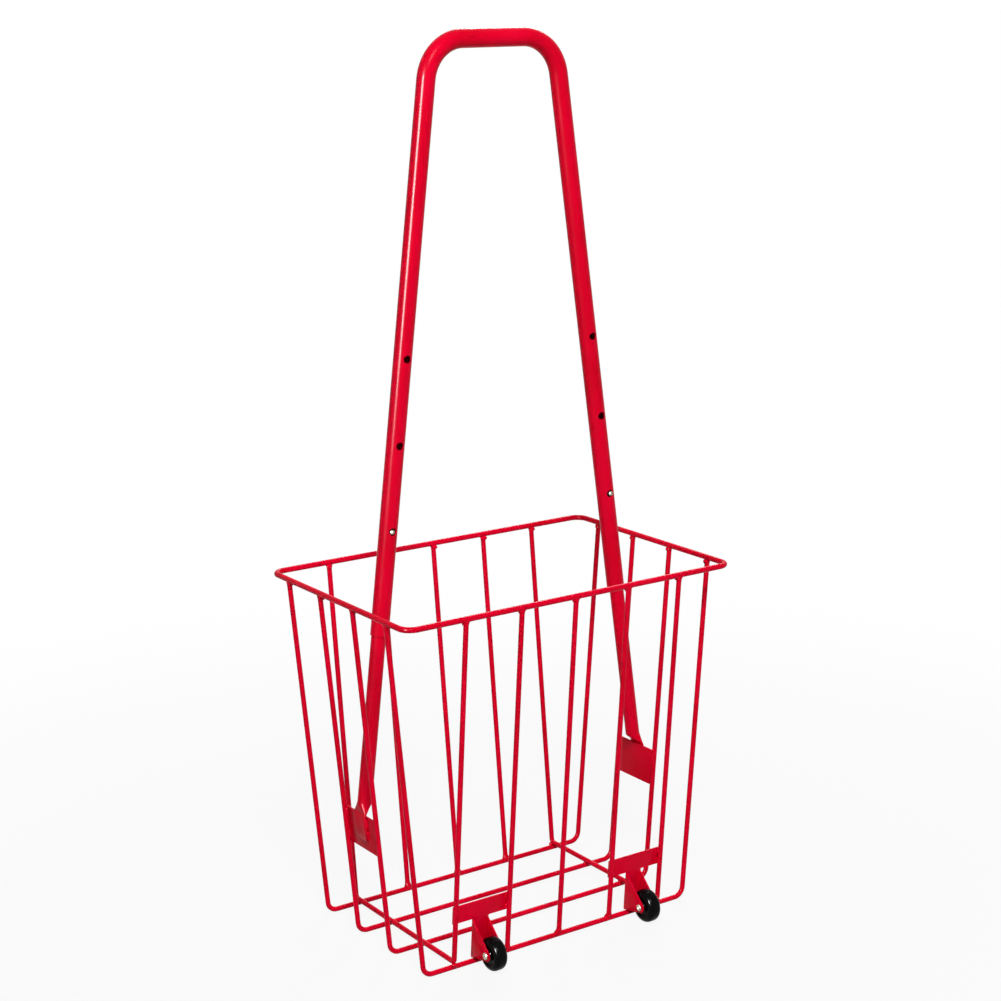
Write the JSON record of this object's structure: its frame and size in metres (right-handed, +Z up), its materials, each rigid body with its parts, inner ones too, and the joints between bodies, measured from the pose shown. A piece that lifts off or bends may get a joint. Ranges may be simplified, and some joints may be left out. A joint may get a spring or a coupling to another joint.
{
  "type": "tennis ball hopper",
  "caption": "Wire basket for tennis balls on two small wheels, with a tall tube handle that slides down over two posts and locks with snap buttons.",
  "frame": {"origin": "floor level, under the middle of the basket's rim", "axes": "+Z up, +X along the basket's long side, +Y to the back, so the wheels are at -Y"},
  "size_m": [0.3726, 0.2523, 0.8587],
  "materials": {
    "red_coat": "glossy red powder coat",
    "wheel_black": "moulded black plastic",
    "zinc": "zinc-plated steel"
  },
  "bodies": {
    "basket": {"rim_wire": "red_coat", "long_wire_front": "red_coat", "long_wire_front_inner": "red_coat", "long_wire_back_inner": "red_coat", "long_wire_back": "red_coat", "cross_wire_left": "red_coat", "cross_wire_right": "red_coat", "front_wire_left": "red_coat", "front_wire_middle": "red_coat", "front_wire_right": "red_coat", "back_wire_left": "red_coat", "back_wire_middle": "red_coat", "back_wire_right": "red_coat", "wheel_bracket_left": "red_coat", "wheel_rivet_left": "zinc", "post_plate_left": "red_coat", "wheel_bracket_right": "red_coat", "wheel_rivet_right": "zinc", "post_plate_right": "red_coat"},
    "wheel_left": {"wheel_left": "wheel_black"},
    "post_left": {"post_left": "red_coat"},
    "snap_button_left": {"snap_button_left": "zinc"},
    "wheel_right": {"wheel_right": "wheel_black"},
    "post_right": {"post_right": "red_coat"},
    "snap_button_right": {"snap_button_right": "zinc"},
    "handle": {"handle_grip": "red_coat"},
    "leg_left": {"handle_leg_left": "red_coat"},
    "leg_right": {"handle_leg_right": "red_coat"}
  },
  "joints": [
    {"name": "handle_slide", "type": "slide", "parent": "basket", "child": "handle", "axis": [0, 0, -1], "range_m": [0, 0.1616]},
    {"name": "leg_left_flex", "type": "hinge", "parent": "handle", "child": "leg_left", "pos_m": [-0.08181, 0, 0.81593], "axis": [0, 1, 0], "range_deg": [0, 2.3]},
    {"name": "post_left_flex", "type": "hinge", "parent": "basket", "child": "post_left", "pos_m": [-0.16585, 0, 0.137], "axis": [0, 1, 0], "range_deg": [0, 2.3]},
    {"name": "leg_right_flex", "type": "hinge", "parent": "handle", "child": "leg_right", "pos_m": [0.08181, 0, 0.81593], "axis": [0, -1, 0], "range_deg": [0, 2.3]},
    {"name": "post_right_flex", "type": "hinge", "parent": "basket", "child": "post_right", "pos_m": [0.16585, 0, 0.137], "axis": [0, -1, 0], "range_deg": [0, 2.3]},
    {"name": "snap_left_press", "type": "slide", "parent": "post_left", "child": "snap_button_left", "axis": [0, 1, 0], "range_m": [0, 0.0034], "stiffness_N_per_m": 1000, "springref_m": -0.001, "deforming": ["snap_button_left"]},
    {"name": "snap_right_press", "type": "slide", "parent": "post_right", "child": "snap_button_right", "axis": [0, 1, 0], "range_m": [0, 0.0034], "stiffness_N_per_m": 1000, "springref_m": -0.001, "deforming": ["snap_button_right"]},
    {"name": "wheel_left_spin", "type": "hinge", "parent": "basket", "child": "wheel_left", "pos_m": [-0.09075, -0.1115, 0.0163], "axis": [1, 0, 0], "continuous": true},
    {"name": "wheel_right_spin", "type": "hinge", "parent": "basket", "child": "wheel_right", "pos_m": [0.09075, -0.1115, 0.0163], "axis": [1, 0, 0], "continuous": true}
  ],
  "couplings": [
    {"joint": "leg_left_flex", "follows": "handle_slide", "rad_per_m": 0.24377},
    {"joint": "post_left_flex", "follows": "handle_slide", "rad_per_m": 0.24377},
    {"joint": "leg_right_flex", "follows": "handle_slide", "rad_per_m": 0.24377},
    {"joint": "post_right_flex", "follows": "handle_slide", "rad_per_m": 0.24377}
  ]
}
